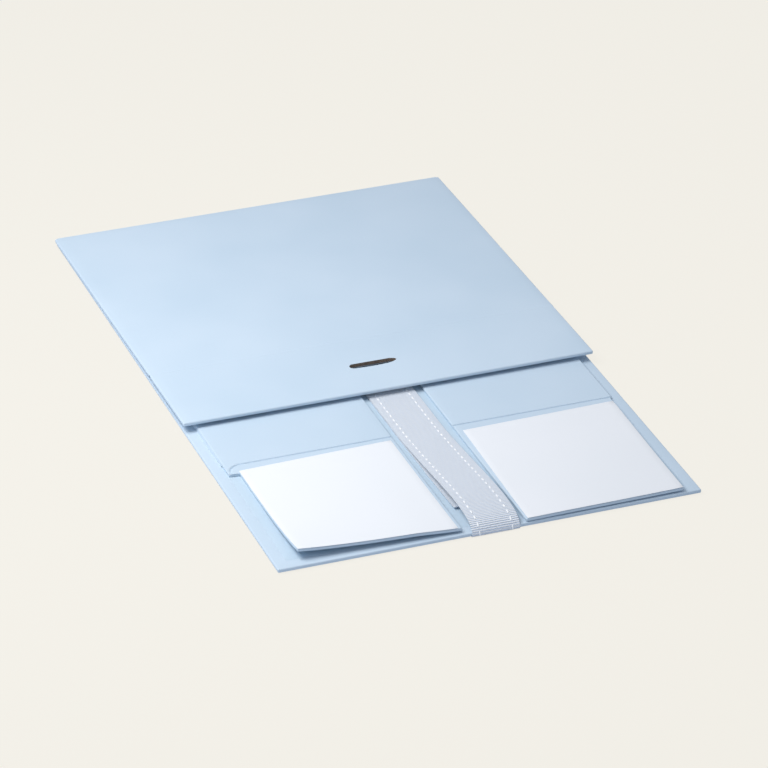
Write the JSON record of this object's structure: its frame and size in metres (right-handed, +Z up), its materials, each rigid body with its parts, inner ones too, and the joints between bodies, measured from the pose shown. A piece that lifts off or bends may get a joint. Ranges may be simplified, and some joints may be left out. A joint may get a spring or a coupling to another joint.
{
  "type": "folding keepsake box",
  "caption": "Paper-wrapped rigid keepsake box, folded flat, with a magnetic front flap, side walls with peel-off adhesive end flaps and a closing ribbon.",
  "frame": {"origin": "middle of the folded box's footprint, at the level of its lowest point", "axes": "+Z up, +Y from the front wall's edge towards the spine, +X to the right seen from the front"},
  "size_m": [0.224, 0.3624, 0.0082],
  "materials": {
    "cover_paper": "smooth uncoated dyed paper, matte, pale blue",
    "lining_paper": "smooth uncoated dyed paper, matte, pale blue",
    "greyboard": "raw recycled greyboard",
    "adhesive_tape": "clear double-sided film tape",
    "release_liner": "white silicone-coated release paper",
    "magnet": "nickel-plated magnet",
    "steel_keeper": "bare steel disc",
    "ribbon": "ribbed grosgrain with white saddle stitch at both edges"
  },
  "bodies": {
    "base": {"base_board": "greyboard", "base_cover": "cover_paper", "base_lining": "lining_paper", "front_crease": "cover_paper", "back_crease": "cover_paper", "left_wall_crease": "cover_paper", "right_wall_crease": "cover_paper", "ribbon_channel_run": "ribbon"},
    "front_wall": {"front_wall_board": "greyboard", "front_wall_cover": "cover_paper", "front_wall_lining": "lining_paper", "front_wall_keepers": "steel_keeper", "ribbon_front_loop": "ribbon", "ribbon_tail": "ribbon"},
    "back_wall": {"back_wall_board": "greyboard", "back_wall_cover": "cover_paper", "back_wall_lining": "lining_paper", "spine_crease": "cover_paper"},
    "lid": {"lid_board": "greyboard", "lid_cover": "cover_paper", "lid_lining": "lining_paper", "lid_flap_crease": "cover_paper"},
    "lid_flap": {"lid_flap_board": "greyboard", "lid_flap_cover": "cover_paper", "lid_flap_lining": "lining_paper", "lid_flap_magnets": "magnet"},
    "left_wall": {"left_wall_board": "greyboard", "left_wall_cover": "cover_paper", "left_wall_lining": "lining_paper", "left_end_flap_crease": "cover_paper"},
    "right_wall": {"right_wall_board": "greyboard", "right_wall_cover": "cover_paper", "right_wall_lining": "lining_paper", "right_end_flap_crease": "cover_paper"},
    "left_end_flap": {"left_end_flap_board": "greyboard", "left_end_flap_cover": "cover_paper", "left_end_flap_lining": "lining_paper", "left_end_flap_tape": "adhesive_tape", "left_end_flap_liner": "release_liner"},
    "right_end_flap": {"right_end_flap_board": "greyboard", "right_end_flap_cover": "cover_paper", "right_end_flap_lining": "lining_paper", "right_end_flap_tape": "adhesive_tape", "right_end_flap_liner": "release_liner"}
  },
  "joints": [
    {"name": "back_wall_hinge", "type": "hinge", "parent": "base", "child": "back_wall", "pos_m": [0, 0.0852, 0.0005], "axis": [1, 0, 0], "range_deg": [0, 90], "deforming": ["back_crease"]},
    {"name": "lid_hinge", "type": "hinge", "parent": "back_wall", "child": "lid", "pos_m": [0, 0.181, 0.00265], "axis": [-1, 0, 0], "range_deg": [0, 180], "deforming": ["spine_crease"]},
    {"name": "lid_flap_hinge", "type": "hinge", "parent": "lid", "child": "lid_flap", "pos_m": [0, 0.01335, 0.00734], "axis": [1, 0, 0], "range_deg": [0, 90], "deforming": ["lid_flap_crease"]},
    {"name": "left_wall_hinge", "type": "hinge", "parent": "base", "child": "left_wall", "pos_m": [-0.105, 0, 0.00255], "axis": [0, -1, 0], "range_deg": [0, 90], "deforming": ["left_wall_crease"]},
    {"name": "right_wall_hinge", "type": "hinge", "parent": "base", "child": "right_wall", "pos_m": [0.105, 0, 0.00255], "axis": [0, 1, 0], "range_deg": [0, 90], "deforming": ["right_wall_crease"]},
    {"name": "front_wall_hinge", "type": "hinge", "parent": "base", "child": "front_wall", "pos_m": [0, -0.0852, 0.0005], "axis": [-1, 0, 0], "range_deg": [0, 90], "deforming": ["front_crease"]},
    {"name": "left_end_flap_hinge", "type": "hinge", "parent": "left_wall", "child": "left_end_flap", "pos_m": [-0.06, -0.0829, 0.0026], "axis": [-1, 0, 0], "range_deg": [-90, 90], "deforming": ["left_end_flap_crease"]},
    {"name": "right_end_flap_hinge", "type": "hinge", "parent": "right_wall", "child": "right_end_flap", "pos_m": [0.06, -0.0829, 0.0026], "axis": [-1, 0, 0], "range_deg": [-90, 90], "deforming": ["right_end_flap_crease"]}
  ],
  "couplings": [
    {"joint": "lid_hinge", "follows": "back_wall_hinge", "ratio": 2},
    {"joint": "lid_flap_hinge", "follows": "back_wall_hinge", "ratio": 1},
    {"joint": "left_wall_hinge", "follows": "back_wall_hinge", "ratio": 1},
    {"joint": "right_wall_hinge", "follows": "back_wall_hinge", "ratio": 1},
    {"joint": "left_end_flap_hinge", "follows": "front_wall_hinge", "ratio": 1},
    {"joint": "right_end_flap_hinge", "follows": "front_wall_hinge", "ratio": 1}
  ]
}
